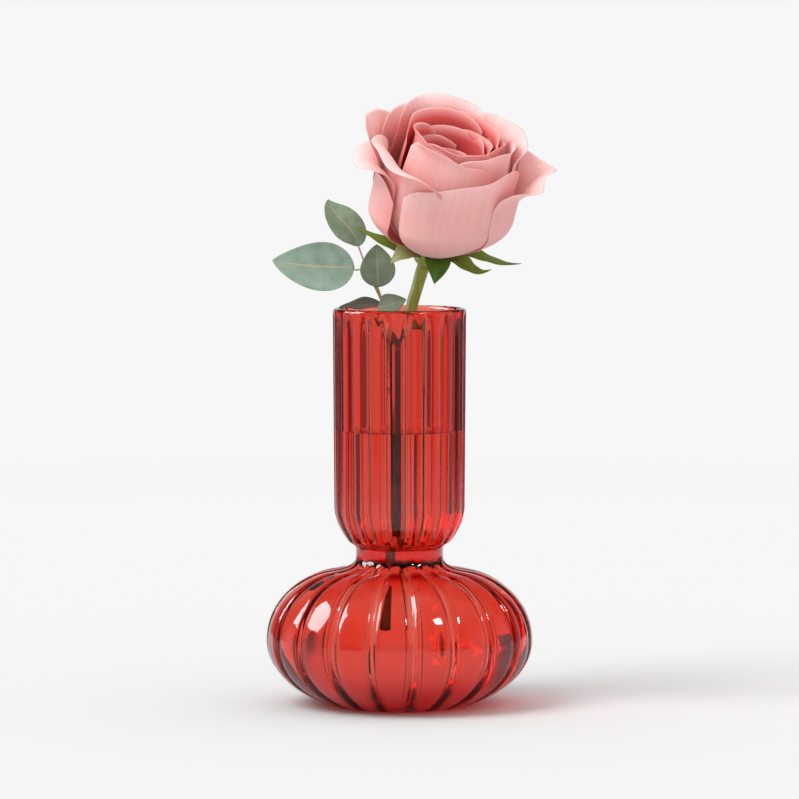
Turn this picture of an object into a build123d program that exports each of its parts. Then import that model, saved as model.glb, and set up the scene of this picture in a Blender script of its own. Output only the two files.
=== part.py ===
from build123d import *

import os
from math import cos, pi, sin, tan

# Fluted glass bud vase, a cylinder cup on a round bulb, holding one rose and one eucalyptus sprig.
# Origin: centre of the foot, on the surface it stands on. +Z up, front towards -Y, millimetres.

# Vase
vase_height = 179.5
wall = 3.0
floor_thickness = 4.5
foot_radius = 30.0
bulb_radius = 60.2
bulb_mid_height = 29.5      # height of the widest ring
shoulder_radius = 31.0
shoulder_height = 61.0
shoulder_slope = 0.13       # radians below the horizontal
waist_radius = 19.7
waist_height = 69.0         # middle of the plain collar
collar_length = 3.0
cup_radius = 29.5
rim_radius = 30.1
cup_start_height = 90.0     # where the cup's rounded bottom becomes straight
bowl_radius = 23.0          # where the flare out of the collar turns into the cup's bottom
bowl_slope = 0.83           # radians above the horizontal
rim_round = 1.4
flute_count = 20
flute_width = 1.4
flute_depth = 0.7
flute_end_gap = 5.0         # plain band left under the rim

# Rose
rose_stem_radius = 2.7
rose_cut_height = 28.0      # lowest point of the cut end, above the foot
bloom_above_rim = 26.0
hip_radius = 8.5
hip_length = 8.0
petal_thickness = 0.6
petal_gap = 2.0             # degrees left between two petals of one ring
sepal_thickness = 0.5
thorn_length = 3.2

# Eucalyptus sprig
twig_radius = 1.2
branch_radius = 0.75
shoot_radius = 0.55
petiole_radius = 0.45
leaf_thickness = 0.5
sprig_end_depth = 99.5      # end of the trunk, below the rim
sprig_front = 5.5           # how far the trunk stands in front of the vase's axis
joint_sink = 0.05           # how far a sepal is let into the hip

rim = vase_height
arc_share = 0.45


def bulb_side(inset, bottom):
    # Bulb from its bottom ring up to the collar, moved in by inset.
    radius = bulb_radius - inset
    neck = waist_radius - inset
    neck_start = waist_height - collar_length / 2
    along = Vector(cos(shoulder_slope), -sin(shoulder_slope))
    shoulder = Vector(shoulder_radius, shoulder_height - inset)
    low = (foot_radius, bottom)
    middle = (radius, bulb_mid_height)
    Bezier(low, (foot_radius + 16, bottom + 4.4), (radius, bulb_mid_height - 14.7), middle)
    Bezier(middle, (radius, bulb_mid_height + 18), shoulder + along * 14, shoulder)
    Bezier(shoulder, shoulder - along * 8, (neck, neck_start - 3.5), (neck, neck_start))
    return Vector(*low), Vector(neck, neck_start)


def cup_side(inset, top):
    # Cup from the collar up to the given height, moved in by inset.
    neck = waist_radius - inset
    neck_end = waist_height + collar_length / 2
    along = Vector(cos(bowl_slope), sin(bowl_slope))
    outwards = Vector(sin(bowl_slope), -cos(bowl_slope))
    turn = Vector(bowl_radius, waist_height + 5) - outwards * inset
    start = Vector(neck, neck_end)
    lip = Vector(rim_radius - inset, top)
    straight = (cup_radius - inset, cup_start_height)
    Bezier(start, start + Vector(0, 2.2), turn - along * 0.7, turn)
    Bezier(turn, turn + along * 1.4, (cup_radius - inset, cup_start_height - 7.5), straight)
    Line(straight, lip)
    return start, lip


def revolved_section(inset, bottom, top):
    # Half section between the axis and the wall line, from bottom to top.
    foot, neck = bulb_side(inset, bottom)
    collar, lip = cup_side(inset, top)
    Line(neck, collar)
    Polyline(lip, (0, top), (0, bottom), foot)


def strip(side, inner_end, outer_end):
    # Closed strip that runs along one side curve, from just outside it to the flutes' depth.
    inner_low, inner_high = side(flute_depth, inner_end)
    outer_low, outer_high = side(-1, outer_end)
    Line(inner_low, outer_low)
    Line(inner_high, outer_high)


def route(points):
    # Straight runs joined by tangent arcs, each as large as its two runs allow.
    runs = [Vector(*b) - Vector(*a) for a, b in zip(points, points[1:])]
    turns = [u.get_angle(v) * pi / 180 for u, v in zip(runs, runs[1:])]
    spans = [min(u.length, v.length) for u, v in zip(runs, runs[1:])]
    radii = [arc_share * span / tan(turn / 2) for span, turn in zip(spans, turns)]
    return FilletPolyline(*points, radius=radii)


def tube(points, radius):
    # Round tube along a route, in the part being built.
    with BuildLine() as line:
        route(points)
    path = line.wire()
    with BuildSketch(Plane(origin=path @ 0, z_dir=path % 0)) as section:
        Circle(radius)
    sweep(section.sketch, path=path)


def rod(start, end, radius):
    # Straight round rod from start to end, in the part being built.
    along = Vector(*end) - Vector(*start)
    with BuildSketch(Plane(origin=start, z_dir=along)) as section:
        Circle(radius)
    extrude(section.sketch, amount=along.length)


def blade_plane(base, tip, face):
    # Plane at the base of a blade: x runs to the tip, z is as near to face as it can be.
    along = (Vector(*tip) - Vector(*base)).normalized()
    normal = Vector(*face) - along * along.dot(Vector(*face))
    return Plane(origin=base, x_dir=along, z_dir=normal)


def blade(base, tip, face, width, thickness, fullness):
    # Flat pointed blade, widest nearer its base as fullness grows, in the part being built.
    length = (Vector(*tip) - Vector(*base)).length
    with BuildSketch(blade_plane(base, tip, face)) as outline:
        with BuildLine():
            Bezier((0, 0), (0, width * fullness), (length * 0.65, width * 0.6), (length, 0))
            mirror(about=Plane.XZ)
        make_face()
    extrude(outline.sketch, amount=thickness / 2, both=True)


def save(part, label):
    part.label = label
    export_step(part, f"parts/{label}.step")
    print(label, f"{part.volume:.0f} mm3")


os.makedirs("parts", exist_ok=True)

# ---- Vase: one piece of glass ----

with BuildPart() as bulb_flute:
    with BuildSketch(Plane.XZ):
        with BuildLine():
            strip(bulb_side, flute_depth, -1)
        make_face()
    extrude(amount=flute_width / 2, both=True)

with BuildPart() as cup_flute:
    with BuildSketch(Plane.XZ):
        with BuildLine():
            strip(cup_side, rim - flute_end_gap, rim - flute_end_gap)
        make_face()
    extrude(amount=flute_width / 2, both=True)

with BuildPart() as glass_vase:
    with BuildSketch(Plane.XZ):
        with BuildLine():
            revolved_section(0, 0, rim)
        make_face()
    revolve(axis=Axis.Z)
    with BuildSketch(Plane.XZ):
        with BuildLine():
            revolved_section(wall, floor_thickness, rim)
        make_face()
    revolve(axis=Axis.Z, mode=Mode.SUBTRACT)
    fillet(glass_vase.edges().group_by(Axis.Z)[-1], rim_round)
    with PolarLocations(0, flute_count, start_angle=360 / flute_count / 3):
        add(bulb_flute.part, mode=Mode.SUBTRACT)
        add(cup_flute.part, mode=Mode.SUBTRACT)
save(glass_vase.part, "glass_vase")

# ---- Eucalyptus sprig: a woody twig and five leaves on thin stalks ----

front = -sprig_front
fork = (-0.9, front, rim - 16.5)
rim_node = (-7.3, front - 0.6, rim + 2.0)
low_node = (-8.5, front - 0.8, rim + 5.0)
high_node = (-15.6, front - 1.4, rim + 18.5)
trunk_points = [
    (0.0, front - 0.6, rim - sprig_end_depth),
    (0.1, front - 0.5, rim - 84.5),
    (-0.6, front - 0.1, rim - 55.5),
    (0.0, front, rim - 38.5),
    fork,
]
branch_points = [
    fork,
    (-6.2, front - 0.5, rim - 1.5),
    low_node,
    (-11.2, front - 1.0, rim + 10.0),
    high_node,
]
left_shoot_points = [fork, (-3.2, front - 2.0, rim - 12.5), (-8.5, front - 4.0, rim - 9.0), (-10.8, front - 5.0, rim - 5.0)]
right_shoot_points = [fork, (2.2, front - 1.6, rim - 13.0), (4.0, front - 2.4, rim - 6.0)]

# name: where the stalk leaves the twig, blade base, blade tip, way the blade faces, width
leaves = {
    "leaf_upper": (high_node, (-18.4, front - 2.0, rim + 28.0), (-32.0, front + 3.0, rim + 49.0), (0.2, -1, -0.1), 15.0),
    "leaf_left": (high_node, (-20.2, front - 2.5, rim + 17.5), (-57.0, front - 6.0, rim + 20.5), (0, -1, 0.1), 21.5),
    "leaf_centre": (low_node, (-9.9, front - 4.0, rim + 9.8), (-10.2, front - 3.0, rim + 29.0), (0.05, -1, 0), 16.0),
    "leaf_rim_right": (rim_node, (-5.2, front - 2.2, rim + 3.2), (3.4, front - 3.4, rim + 6.6), (0.2, -1, 0.5), 8.0),
    "leaf_rim_left": (rim_node, (-9.0, front + 1.5, rim + 2.6), (-25.5, front + 5.0, rim + 2.4), (0, -0.3, 1), 11.0),
}

with BuildPart() as sprig_twig:
    tube(trunk_points, twig_radius)
    tube(branch_points, branch_radius)
    tube(left_shoot_points, shoot_radius)
    tube(right_shoot_points, shoot_radius)
    for node, base, tip, face, width in leaves.values():
        rod(node, base, petiole_radius)
save(sprig_twig.part, "sprig_twig")

for name, (node, base, tip, face, width) in leaves.items():
    with BuildPart() as leaf:
        blade(base, tip, face, width, leaf_thickness, 0.7)
    save(leaf.part, name)

# ---- Rose: stem, hip, sepals and petals ----

bloom_axis = Vector(0.19, -0.38, 0.90).normalized()
bloom_base = Vector(15.0, -4.0, rim + bloom_above_rim)
bloom = Plane(origin=bloom_base, x_dir=(1, 0, 0), z_dir=bloom_axis)
stem_top = bloom_base - bloom_axis * hip_length
stem_points = [
    (-5.6, 3.4, rose_cut_height - 6.0),
    (-3.6, 3.0, waist_height),
    (-2.4, 3.1, rim - 69.5),
    (0.6, 3.3, rim - 39.5),
    (5.2, 3.6, rim),
    stem_top - bloom_axis * 8.0,
    stem_top,
]
# share of the run up to the rim, way the thorn points
thorns = [(0.05, (1, 0.2, 0.25)), (0.75, (1, -0.1, -0.5))]

with BuildPart() as rose_stem:
    tube(stem_points, rose_stem_radius)
    for share, way in thorns:
        run_start = Vector(*stem_points[3])
        run_end = Vector(*stem_points[4])
        point = Plane(origin=run_start + (run_end - run_start) * share, z_dir=way)
        with BuildSketch(point.offset(rose_stem_radius * 0.6)):
            Circle(1.3)
        with BuildSketch(point.offset(rose_stem_radius + thorn_length * 0.6)):
            Circle(0.3)
        loft()
    split(bisect_by=Plane(origin=(-5.5, 3.4, rose_cut_height + 2.0), z_dir=(0.5, 0, 1)), keep=Keep.TOP)
save(rose_stem.part, "rose_stem")

with BuildPart() as rose_hip:
    with BuildSketch(Plane(origin=stem_top, x_dir=bloom.x_dir, z_dir=-bloom.y_dir)):
        with BuildLine():
            Line((0, 0), (rose_stem_radius, 0))
            Bezier((rose_stem_radius, 0), (hip_radius, 1.5), (hip_radius, 4.0), (hip_radius, hip_length))
            Polyline((hip_radius, hip_length), (0, hip_length), (0, 0))
        make_face()
    revolve(axis=Axis(origin=stem_top, direction=bloom_axis))
save(rose_hip.part, "rose_hip")

# name: sepal tip from the bloom's base, width
sepals = {
    "sepal_left": ((-35.0, -5.0, 11.0), 8.0),
    "sepal_lower_left": ((-19.0, -9.5, -5.5), 10.0),
    "sepal_front": ((0.5, -13.0, -14.5), 10.0),
    "sepal_lower_right": ((26.0, -9.0, -8.0), 8.0),
    "sepal_right": ((40.0, 6.0, -6.0), 7.0),
}
for name, (reach, width) in sepals.items():
    tip = bloom_base + Vector(*reach)
    flat = Vector(*reach) - bloom_axis * bloom_axis.dot(Vector(*reach))
    root = bloom_base - bloom_axis * 2.5 + flat.normalized() * (hip_radius - joint_sink)
    with BuildPart() as sepal:
        blade(root, tip, bloom_axis, width, sepal_thickness, 0.5)
    save(sepal.part, name)

# ring: number of petals, radius at the base, widest radius, radius at the lip, height, turn in degrees
rings = {
    "petal_outer": (5, 7.9, 33.5, 34.5, 46.0, 252),
    "petal_middle": (5, 6.7, 30.0, 29.5, 60.0, 216),
    "petal_inner": (5, 5.5, 25.0, 24.0, 63.0, 240),
    "petal_core": (5, 4.3, 19.5, 17.5, 60.0, 204),
}
heart_base = 3.0
heart_radius = 13.5
heart_height = 57.0
heart_foot = (12.0, 9.0)    # radius and height that pull the heart's foot outwards
heart_belly = (16.5, 38.0)  # radius and height that hold its fullest part out
heart_top_share = 0.4       # of heart_radius, left flat at the top
wing_petal = 1              # the outer petal that is bent outwards
wing_lip = 54.0
wing_height = 38.0


def petal_section(base, radius, lip, height):
    # Upright cut through a petal: a thin cup wall from the hip to the lip.
    inner = base - petal_thickness
    Bezier((base, 0), (base + 9, 8), (radius, height * 0.3), (lip, height))
    Bezier((inner, 0), (inner + 9, 8.6), (radius - petal_thickness, height * 0.3 + 0.3), (lip - petal_thickness, height))
    Line((base, 0), (inner, 0))
    Line((lip, height), (lip - petal_thickness, height))


for ring, (count, base, radius, lip, height, turn) in rings.items():
    for index in range(count):
        bent = ring == "petal_outer" and index == wing_petal
        angle = turn + index * 360 / count
        start = Plane(bloom.location * Rotation(0, 0, angle) * Plane.XZ.location)
        with BuildPart() as petal:
            with BuildSketch(start):
                with BuildLine():
                    petal_section(base, radius, wing_lip if bent else lip, wing_height if bent else height)
                make_face()
            revolve(axis=Axis(bloom.origin, bloom.z_dir), revolution_arc=360 / count - petal_gap)
        save(petal.part, f"{ring}_{index + 1}")

with BuildPart() as rose_heart:
    with BuildSketch(Plane(origin=bloom.origin, x_dir=bloom.x_dir, z_dir=-bloom.y_dir)):
        with BuildLine():
            Line((0, 0), (heart_base, 0))
            Bezier((heart_base, 0), heart_foot, heart_belly, (heart_radius * heart_top_share, heart_height))
            Polyline((heart_radius * heart_top_share, heart_height), (0, heart_height), (0, 0))
        make_face()
    revolve(axis=Axis(bloom.origin, bloom.z_dir))
save(rose_heart.part, "rose_heart")
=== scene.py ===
from math import cos, pi, radians, sin

import bpy
import numpy as np
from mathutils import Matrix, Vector


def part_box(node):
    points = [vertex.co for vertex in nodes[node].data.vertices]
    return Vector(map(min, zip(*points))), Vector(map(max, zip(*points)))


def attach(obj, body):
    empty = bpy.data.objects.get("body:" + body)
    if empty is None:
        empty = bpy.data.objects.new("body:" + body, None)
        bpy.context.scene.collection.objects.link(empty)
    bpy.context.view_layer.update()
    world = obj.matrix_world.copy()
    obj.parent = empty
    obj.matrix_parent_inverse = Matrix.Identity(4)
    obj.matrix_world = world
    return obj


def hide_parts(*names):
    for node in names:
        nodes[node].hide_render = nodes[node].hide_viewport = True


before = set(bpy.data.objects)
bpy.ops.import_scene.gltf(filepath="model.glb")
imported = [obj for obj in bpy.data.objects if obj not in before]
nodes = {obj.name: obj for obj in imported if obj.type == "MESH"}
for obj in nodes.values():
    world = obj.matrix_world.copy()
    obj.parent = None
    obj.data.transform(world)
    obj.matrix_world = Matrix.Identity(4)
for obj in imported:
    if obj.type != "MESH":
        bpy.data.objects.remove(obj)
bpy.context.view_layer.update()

mm = 0.001
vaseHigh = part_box("glass_vase")[1]
rim = vaseHigh.z / mm
bulbRadius = vaseHigh.x / mm
print("frame loaded:", len(nodes), "nodes, rim at", round(rim, 1), "mm")


def hexColour(text):
    # sRGB hex to linear red, green, blue, alpha
    parts = np.array([int(text[i:i + 2], 16) for i in (1, 3, 5)]) / 255
    linear = np.where(parts <= 0.04045, parts / 12.92, ((parts + 0.055) / 1.055) ** 2.4)
    return (*[float(x) for x in linear], 1.0)


def addNode(tree, kind, inputs=None, stops=None, **settings):
    # one node with its settings; an input is a number, a tuple, a hex colour, or a socket or node to link
    # from; stops are a ramp's places and hex colours. A Map Range takes 1 to 2 and gives 3 to 4, and a
    # colour Mix goes from 6 to 7 by the share 0
    node = tree.nodes.new(kind)
    for key, value in settings.items():
        setattr(node, key, value)
    for key, value in (inputs or {}).items():
        if isinstance(value, bpy.types.Node):
            value = next(socket for socket in value.outputs if socket.enabled)
        if isinstance(value, bpy.types.NodeSocket):
            tree.links.new(value, node.inputs[key])
        else:
            node.inputs[key].default_value = hexColour(value) if isinstance(value, str) else value
    if stops:
        points = node.color_ramp.elements
        for point, (place, colour) in zip(points, (stops[0], stops[-1])):
            point.position = place
            point.color = hexColour(colour)
        for place, colour in stops[1:-1]:
            points.new(place).color = hexColour(colour)
    return node


def newMaterial(name):
    material = bpy.data.materials.new(name)
    material.use_nodes = True
    material.node_tree.nodes.clear()
    return material, material.node_tree


def bezier(points, count):
    # points of a Bezier curve: neighbouring control points are blended by the share t until one is left
    t = np.linspace(0, 1, count)[:, None]
    layer = [np.array(p, float)[None, :] + 0 * t for p in points]
    while len(layer) > 1:
        layer = [a * (1 - t) + b * t for a, b in zip(layer, layer[1:])]
    return layer[0]


def smoothStep(x):
    # 0 up to 0, 1 from 1 on, with a level start and end between them
    x = np.clip(x, 0, 1)
    return x * x * (3 - 2 * x)


def gridQuads(rows, columns, wrap):
    # quads between neighbouring rows, joined round the end when wrap is set
    i = np.arange(rows - 1)[:, None] * columns
    j = np.arange(columns if wrap else columns - 1)[None, :]
    k = (j + 1) % columns
    return np.stack([i + j, i + k, i + columns + k, i + columns + j], -1).reshape(-1, 4)


def roundSurface(grid, startPole, endPole):
    # closed surface: rings of points, with a fan to one point at each end
    rows, columns = grid.shape[:2]
    verts = np.concatenate([grid.reshape(-1, 3), [startPole, endPole]])
    j = np.arange(columns)
    k = (j + 1) % columns
    top = (rows - 1) * columns
    startFan = np.stack([0 * j + rows * columns, k, j], -1)
    endFan = np.stack([top + j, top + k, 0 * j + rows * columns + 1], -1)
    faces = gridQuads(rows, columns, True).tolist() + startFan.tolist() + endFan.tolist()
    return verts, faces


def shellSurface(grid, thickness):
    # thin closed shell: the sheet pushed half its thickness each way along its normal, with one border
    # for both faces; side is 0 on the front and 0.5 on the border
    rows, columns = grid.shape[:2]
    across = np.gradient(grid, axis=1)
    along = np.gradient(grid, axis=0)
    normal = np.cross(across, along)
    normal /= np.linalg.norm(normal, axis=-1, keepdims=True) + 1e-12
    push = normal * thickness[..., None] / 2
    border = np.ones((rows, columns), bool)
    border[1:-1, 1:-1] = False
    front = np.where(border[..., None], grid, grid + push).reshape(-1, 3)
    back = (grid - push)[~border]
    index = np.arange(rows * columns).reshape(rows, columns)
    backIndex = index.copy()
    backIndex[~border] = rows * columns + np.arange(len(back))
    quads = gridQuads(rows, columns, False)
    backQuads = backIndex.reshape(-1)[quads][:, ::-1]
    side = np.where(border, 0.5, 0.0).reshape(-1)
    return np.concatenate([front, back]), quads.tolist() + backQuads.tolist(), border, side


def addPiece(name, verts, faces, material, body, replaced=(), uv=None, marks=None):
    # mesh object from points in millimetres, riding on its body
    mesh = bpy.data.meshes.new(name)
    mesh.from_pydata((np.asarray(verts) * mm).tolist(), [], faces)
    mesh.polygons.foreach_set("use_smooth", np.ones(len(mesh.polygons), bool))
    if uv is not None:
        corners = np.empty(len(mesh.loops), np.int32)
        mesh.loops.foreach_get("vertex_index", corners)
        mesh.uv_layers.new(name="surface").data.foreach_set("uv", np.asarray(uv)[corners].ravel())
    for mark, values in (marks or {}).items():
        mesh.attributes.new(mark, "FLOAT", "POINT").data.foreach_set("value", np.asarray(values, float))
    mesh.materials.append(material)
    mesh.update()
    piece = bpy.data.objects.new(name, mesh)
    bpy.context.scene.collection.objects.link(piece)
    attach(piece, body)
    if replaced:
        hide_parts(*replaced)


studio = {
    "cameraDistance": 2.2,     # metres in front of the vase's axis
    "cameraHeight": 0.286,
    "cameraDrop": 3.843,       # degrees that it looks down
    "lens": 220.3,             # on a 36 mm sensor
    "backdrop": 0.93,          # what the camera sees behind everything
    "sky": 1.02,               # even light that falls on matt surfaces
    "wide": 0.84,              # brightest of what glass and gloss see
    "towardsCamera": 0.5,      # the same on the camera's side
    "gap": 0.14,               # share of it left between the screens
    "ceiling": 0.25,           # share of it left overhead
    "sun": 2.2,
    "sunSize": 34,             # degrees, wide for a soft shadow
    "sunFrom": (-0.62, -0.45, 0.92),
    "floorRadius": 1.5,
    "floorFade": (0.7, 1.4),   # metres from the middle
    "floorTone": 0.597,
    "softboxes": {             # direction, distance, sides in metres, watts
        "softboxLeft": ((-0.81, 0.04, 0.563), 1.0, (0.60, 0.60), 14),
        "softboxRight": ((0.44, -0.42, 0.60), 1.4, (0.26, 0.26), 5),
    },
}


def makeCamera():
    data = bpy.data.cameras.new("camera")
    data.lens = studio["lens"]
    data.sensor_width = 36
    data.clip_end = 30
    camera = bpy.data.objects.new("camera", data)
    camera.location = (0, -studio["cameraDistance"], studio["cameraHeight"])
    camera.rotation_euler = (radians(90 - studio["cameraDrop"]), 0, 0)
    bpy.context.scene.collection.objects.link(camera)
    bpy.context.scene.camera = camera


def makeWorld():
    # the camera sees an even pale backdrop and matt surfaces an even sky; glass and gloss see the studio:
    # pale screens towards the four sides with dark gaps between them, and a dim ceiling
    world = bpy.data.worlds.new("studio")
    bpy.context.scene.world = world
    world.use_nodes = True
    tree = world.node_tree
    tree.nodes.clear()
    place = addNode(tree, "ShaderNodeTexCoord").outputs["Generated"]
    way = addNode(tree, "ShaderNodeSeparateXYZ", {0: place})
    # the cosine of four times the bearing is 1 in the middle of each screen and -1 at the corners
    bearing = addNode(tree, "ShaderNodeTexGradient", {0: place}, gradient_type="RADIAL").outputs["Fac"]
    fourfold = addNode(tree, "ShaderNodeMath", {0: bearing, 1: 8 * pi}, operation="MULTIPLY")
    corner = addNode(tree, "ShaderNodeMath", {0: fourfold}, operation="COSINE")
    gap = addNode(tree, "ShaderNodeMapRange", {0: corner, 1: 0.10, 2: -0.70, 3: 1.0, 4: studio["gap"]},
                  interpolation_type="SMOOTHSTEP")
    front = addNode(tree, "ShaderNodeMapRange",
                    {0: way.outputs["Y"], 1: -0.7, 2: 0.2, 3: studio["towardsCamera"], 4: studio["wide"]})
    ceiling = addNode(tree, "ShaderNodeMapRange",
                      {0: way.outputs["Z"], 1: 0.08, 2: 0.5, 3: 1.0, 4: studio["ceiling"]})
    walls = addNode(tree, "ShaderNodeMath", {0: gap, 1: front}, operation="MULTIPLY")
    tone = addNode(tree, "ShaderNodeMath", {0: walls, 1: ceiling}, operation="MULTIPLY")
    white = (1, 1, 1, 1)
    pale = (studio["backdrop"], studio["backdrop"], studio["backdrop"], 1)
    room = addNode(tree, "ShaderNodeBackground", {"Color": white, "Strength": tone})
    sky = addNode(tree, "ShaderNodeBackground", {"Color": white, "Strength": studio["sky"]})
    back = addNode(tree, "ShaderNodeBackground", {"Color": pale, "Strength": 1.0})
    ray = addNode(tree, "ShaderNodeLightPath")
    soft = addNode(tree, "ShaderNodeMixShader", {0: ray.outputs["Is Diffuse Ray"], 1: room, 2: sky})
    mix = addNode(tree, "ShaderNodeMixShader", {0: ray.outputs["Is Camera Ray"], 1: soft, 2: back})
    addNode(tree, "ShaderNodeOutputWorld", {"Surface": mix})


def makeSun():
    data = bpy.data.lights.new("sun", "SUN")
    data.energy = studio["sun"]
    data.angle = radians(studio["sunSize"])
    sun = bpy.data.objects.new("sun", data)
    sun.rotation_euler = Vector(studio["sunFrom"]).to_track_quat("Z", "Y").to_euler()
    sun.visible_glossy = False
    bpy.context.scene.collection.objects.link(sun)


def makeSoftbox(name, toward, distance, size, power):
    # square lamp seen only in reflections and through glass
    data = bpy.data.lights.new(name, "AREA")
    data.shape = "RECTANGLE"
    data.size, data.size_y = size
    data.energy = power
    lamp = bpy.data.objects.new(name, data)
    way = Vector(toward).normalized()
    lamp.location = way * distance + Vector((0, 0, 0.05))
    lamp.rotation_euler = way.to_track_quat("Z", "Y").to_euler()
    lamp.visible_camera = False
    lamp.visible_diffuse = False
    bpy.context.scene.collection.objects.link(lamp)


def makeFloor():
    # pale matt board that fades out before its edge, so it runs into the backdrop
    material, tree = newMaterial("paleBoard")
    place = addNode(tree, "ShaderNodeTexCoord").outputs["Object"]
    far = addNode(tree, "ShaderNodeVectorMath", {0: place}, operation="LENGTH").outputs["Value"]
    near, gone = studio["floorFade"]
    fade = addNode(tree, "ShaderNodeMapRange", {0: far, 1: near, 2: gone, 3: 0.0, 4: 1.0})
    tone = studio["floorTone"]
    matt = addNode(tree, "ShaderNodeBsdfDiffuse", {"Color": (tone, tone, tone, 1)})
    clear = addNode(tree, "ShaderNodeBsdfTransparent")
    mix = addNode(tree, "ShaderNodeMixShader", {0: fade, 1: matt, 2: clear})
    addNode(tree, "ShaderNodeOutputMaterial", {"Surface": mix})
    corners = 96
    turns = np.linspace(0, 2 * pi, corners, endpoint=False)
    ring = np.stack([np.cos(turns), np.sin(turns), 0 * turns], -1) * studio["floorRadius"]
    mesh = bpy.data.meshes.new("floor")
    mesh.from_pydata(ring.tolist(), [], [list(range(corners))])
    mesh.materials.append(material)
    mesh.update()
    floor = bpy.data.objects.new("floor", mesh)
    bpy.context.scene.collection.objects.link(floor)


makeCamera()
makeWorld()
makeSun()
for lampName, lampValues in studio["softboxes"].items():
    makeSoftbox(lampName, *lampValues)
makeFloor()
bpy.context.scene.view_settings.view_transform = "Standard"
print("studio ready")


vase = {                       # in millimetres, as all sizes of pieces are
    "wall": 3.0,
    "floorThickness": 8.0,     # heavy bottom, as blown glass has, with its inner edge rounded up
    "footRadius": 30.0,
    "footHollow": 0.6,         # how far the middle of the foot stands clear
    "bulbMiddle": 29.5,
    "shoulder": (31.0, 61.0),
    "shoulderSlope": 0.13,
    "neckRadius": 19.7,
    "neckHeight": 69.0,
    "collarLength": 3.0,
    "collarWall": 1.5,         # the wall there is this many times as thick as elsewhere
    "cupRadius": 29.5,
    "rimRadius": 30.1,
    "cupStart": 90.0,
    "bowlRadius": 23.0,
    "bowlSlope": 0.83,
    "flutes": 20,
    "fluteTurn": 6.0,          # degrees from +X to the first groove
    "fluteDepth": 0.9,         # at the axis, growing by fluteDeepen of the radius
    "fluteDeepen": 0.022,
    "fluteInside": 0.20,       # share of the depth that shows inside
    "grooveHalf": 1.6,         # half width of a groove's channel
    "channel": 0.82,           # share of the depth that is the channel, the rest is the flute's own crown
    "crownPower": 2.5,
    "collarFade": (1.5, 9.0),  # flutes begin this far from the collar's middle, full this much further
    "lipFade": (3.2, 2.4),     # they end this far below the rim and fade over this height
    "footFade": 6.0,           # they are half as deep at the foot and full at this height
    "columns": 20,             # per flute
    "rimBead": 0.45,
    "beadBelow": 1.8,          # from the rim to the bead's middle
    "beadHalf": (1.5, 1.6),    # half its width, outside and inside
    "waterLevel": 124.0,
    "creep": 0.9,              # how high the water climbs at the wall, over about the same width
    "glassIor": 1.5,
    "waterIor": 1.333,
    "tint": (0.94, 0.17, 0.02, 1),   # linear, the light that thick glass lets through
    "tintDensity": 620.0,
}


def sideLine(inset, bottom, top):
    # radius and height from the foot ring to the lip, the same curves as the vase's design, moved in by
    # inset; each run has its number of points and the corners of its curve
    v = vase
    radius = bulbRadius - inset
    neck = v["neckRadius"] - inset * v["collarWall"]
    low = (v["footRadius"], bottom)
    middle = (radius, v["bulbMiddle"])
    along = np.array([cos(v["shoulderSlope"]), -sin(v["shoulderSlope"])])
    shoulder = np.array([v["shoulder"][0], v["shoulder"][1] - inset])
    neckLow = (neck, v["neckHeight"] - v["collarLength"] / 2)
    neckHigh = (neck, v["neckHeight"] + v["collarLength"] / 2)
    rise = np.array([cos(v["bowlSlope"]), sin(v["bowlSlope"])])
    outwards = np.array([sin(v["bowlSlope"]), -cos(v["bowlSlope"])])
    turn = np.array([v["bowlRadius"], v["neckHeight"] + 5]) - outwards * inset
    straight = (v["cupRadius"] - inset, v["cupStart"])
    runs = [
        (28, [low, (low[0] + 16, bottom + 4.4), (radius, v["bulbMiddle"] - 14.7), middle]),
        (24, [middle, (radius, v["bulbMiddle"] + 18), shoulder + along * 14, shoulder]),
        (14, [shoulder, shoulder - along * 8, (neck, neckLow[1] - 3.5), neckLow]),
        (4, [neckLow, neckHigh]),
        (9, [neckHigh, (neck, neckHigh[1] + 2.2), turn - rise * 0.7, turn]),
        (12, [turn, turn + rise * 1.4, (straight[0], v["cupStart"] - 7.5), straight]),
        (16, [straight, (v["rimRadius"] - inset, top)]),
    ]
    return np.concatenate([bezier(points, count)[:-1] for count, points in runs])


def ringsRound(radius, height, angles):
    # rings about the axis, one per row; the radius and the height are one value per row, or one per point
    radius, height = [part.reshape(len(part), -1) + 0 * angles for part in (radius, height)]
    return np.stack([radius * np.cos(angles), radius * np.sin(angles), height], -1)


def fluteLine():
    # column angles, closer together near the grooves, and how far each is from its groove as a share of
    # half a flute: the square of an even spacing
    t = np.linspace(-1, 1, vase["columns"], endpoint=False)
    away = (1 - np.abs(t)) ** 2
    t = np.where(t < 0, -1.0, 1.0) * (1 - away)
    pitch = 2 * pi / vase["flutes"]
    starts = radians(vase["fluteTurn"]) + pitch * np.arange(vase["flutes"])
    angles = (starts[:, None] + pitch * (t + 1) / 2).reshape(-1)
    return angles, np.tile(away, vase["flutes"])


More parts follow.
